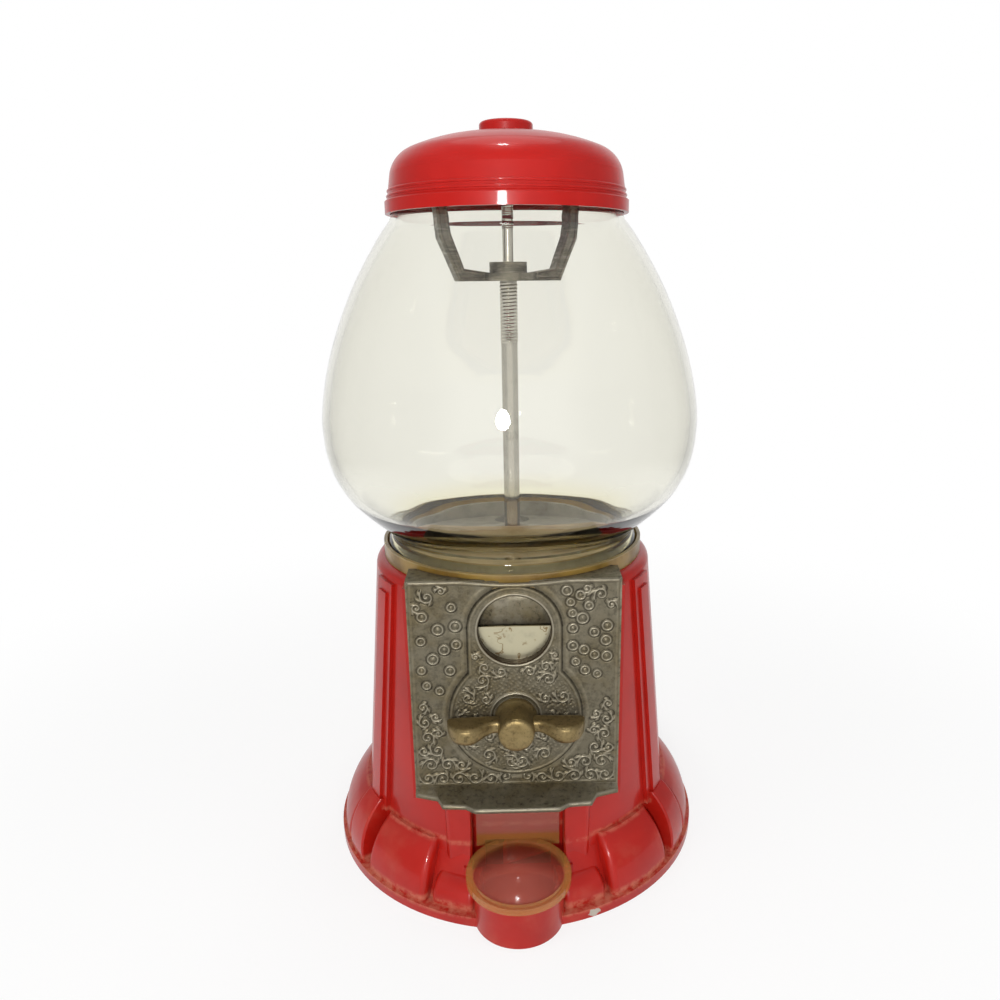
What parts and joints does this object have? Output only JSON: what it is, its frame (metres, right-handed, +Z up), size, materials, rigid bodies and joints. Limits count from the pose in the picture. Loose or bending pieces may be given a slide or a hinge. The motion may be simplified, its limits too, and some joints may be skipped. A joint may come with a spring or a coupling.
{
  "type": "gumball machine",
  "caption": "Countertop gumball machine: glass globe over a flared painted base with a coin plate, turn handle, geared dispensing wheel, flap over the cup and a lift-off lid.",
  "frame": {"origin": "on the table, in the middle of the round foot and on the axis of the rod", "axes": "+Z up along the rod, the coin plate and the cup face -Y, +X to the right of someone who looks at the plate"},
  "size_m": [0.1524, 0.1642, 0.2794],
  "materials": {
    "red_paint": "glossy",
    "pewter": "antiqued",
    "bronze": "antiqued",
    "nickel": "polished",
    "zinc": "satin",
    "plated_steel": "satin",
    "bearing_brass": "satin",
    "clear_glass": "polished",
    "soft_ring": "satin",
    "clear_plastic": "glossy",
    "grey_plastic": "matte",
    "tan_plastic": "matte",
    "red_plastic": "glossy",
    "black_steel": "satin"
  },
  "bodies": {
    "base": {"base_casting": "red_paint", "faceplate": "pewter", "coin_shield": "nickel", "mech_bracket": "plated_steel", "mech_screws": "plated_steel", "shaft_bush": "bearing_brass", "bracket_bush": "bearing_brass", "pawl_pin": "plated_steel", "hopper": "grey_plastic", "hopper_screws": "plated_steel", "ball_guard": "tan_plastic", "globe_gasket": "soft_ring", "globe": "clear_glass", "center_rod": "nickel", "yoke": "zinc", "ball_chute": "red_plastic", "chute_screws": "plated_steel", "bottom_cover": "black_steel", "rod_washer": "plated_steel", "rod_nut": "plated_steel", "door_pin": "plated_steel"},
    "handle_set": {"handle": "bronze", "handle_shaft": "plated_steel", "coin_wheel": "zinc", "ratchet_wheel": "zinc", "drive_pinion": "bearing_brass", "shaft_clip": "plated_steel"},
    "wheel_set": {"gumball_wheel": "grey_plastic", "crown_gear": "tan_plastic"},
    "pawl": {"pawl": "zinc"},
    "door": {"chute_door": "clear_plastic"},
    "lid": {"lid": "red_paint"},
    "knob": {"lid_knob": "red_paint", "knob_clip": "plated_steel"}
  },
  "joints": [
    {"name": "wheel_turn", "type": "hinge", "parent": "base", "child": "wheel_set", "pos_m": [0, 0, 0.1], "axis": [0, 0, 1], "continuous": true},
    {"name": "handle_turn", "type": "hinge", "parent": "base", "child": "handle_set", "pos_m": [0, -0.05, 0.0725], "axis": [0, 1, 0], "continuous": true},
    {"name": "pawl_swing", "type": "hinge", "parent": "base", "child": "pawl", "pos_m": [-0.0208, -0.0392, 0.0577], "axis": [0, -1, 0], "range_deg": [0, 12]},
    {"name": "door_swing", "type": "hinge", "parent": "base", "child": "door", "pos_m": [0, -0.052, 0.0366], "axis": [-1, 0, 0], "range_deg": [0, 60]},
    {"name": "lid_lift", "type": "slide", "parent": "base", "child": "lid", "axis": [0, 0, 1], "range_m": [0, 0.06]},
    {"name": "knob_turn", "type": "hinge", "parent": "lid", "child": "knob", "pos_m": [0, 0, 0.277], "axis": [0, 0, 1], "continuous": true}
  ],
  "couplings": [
    {"joint": "handle_turn", "follows": "wheel_turn", "ratio": 4}
  ]
}
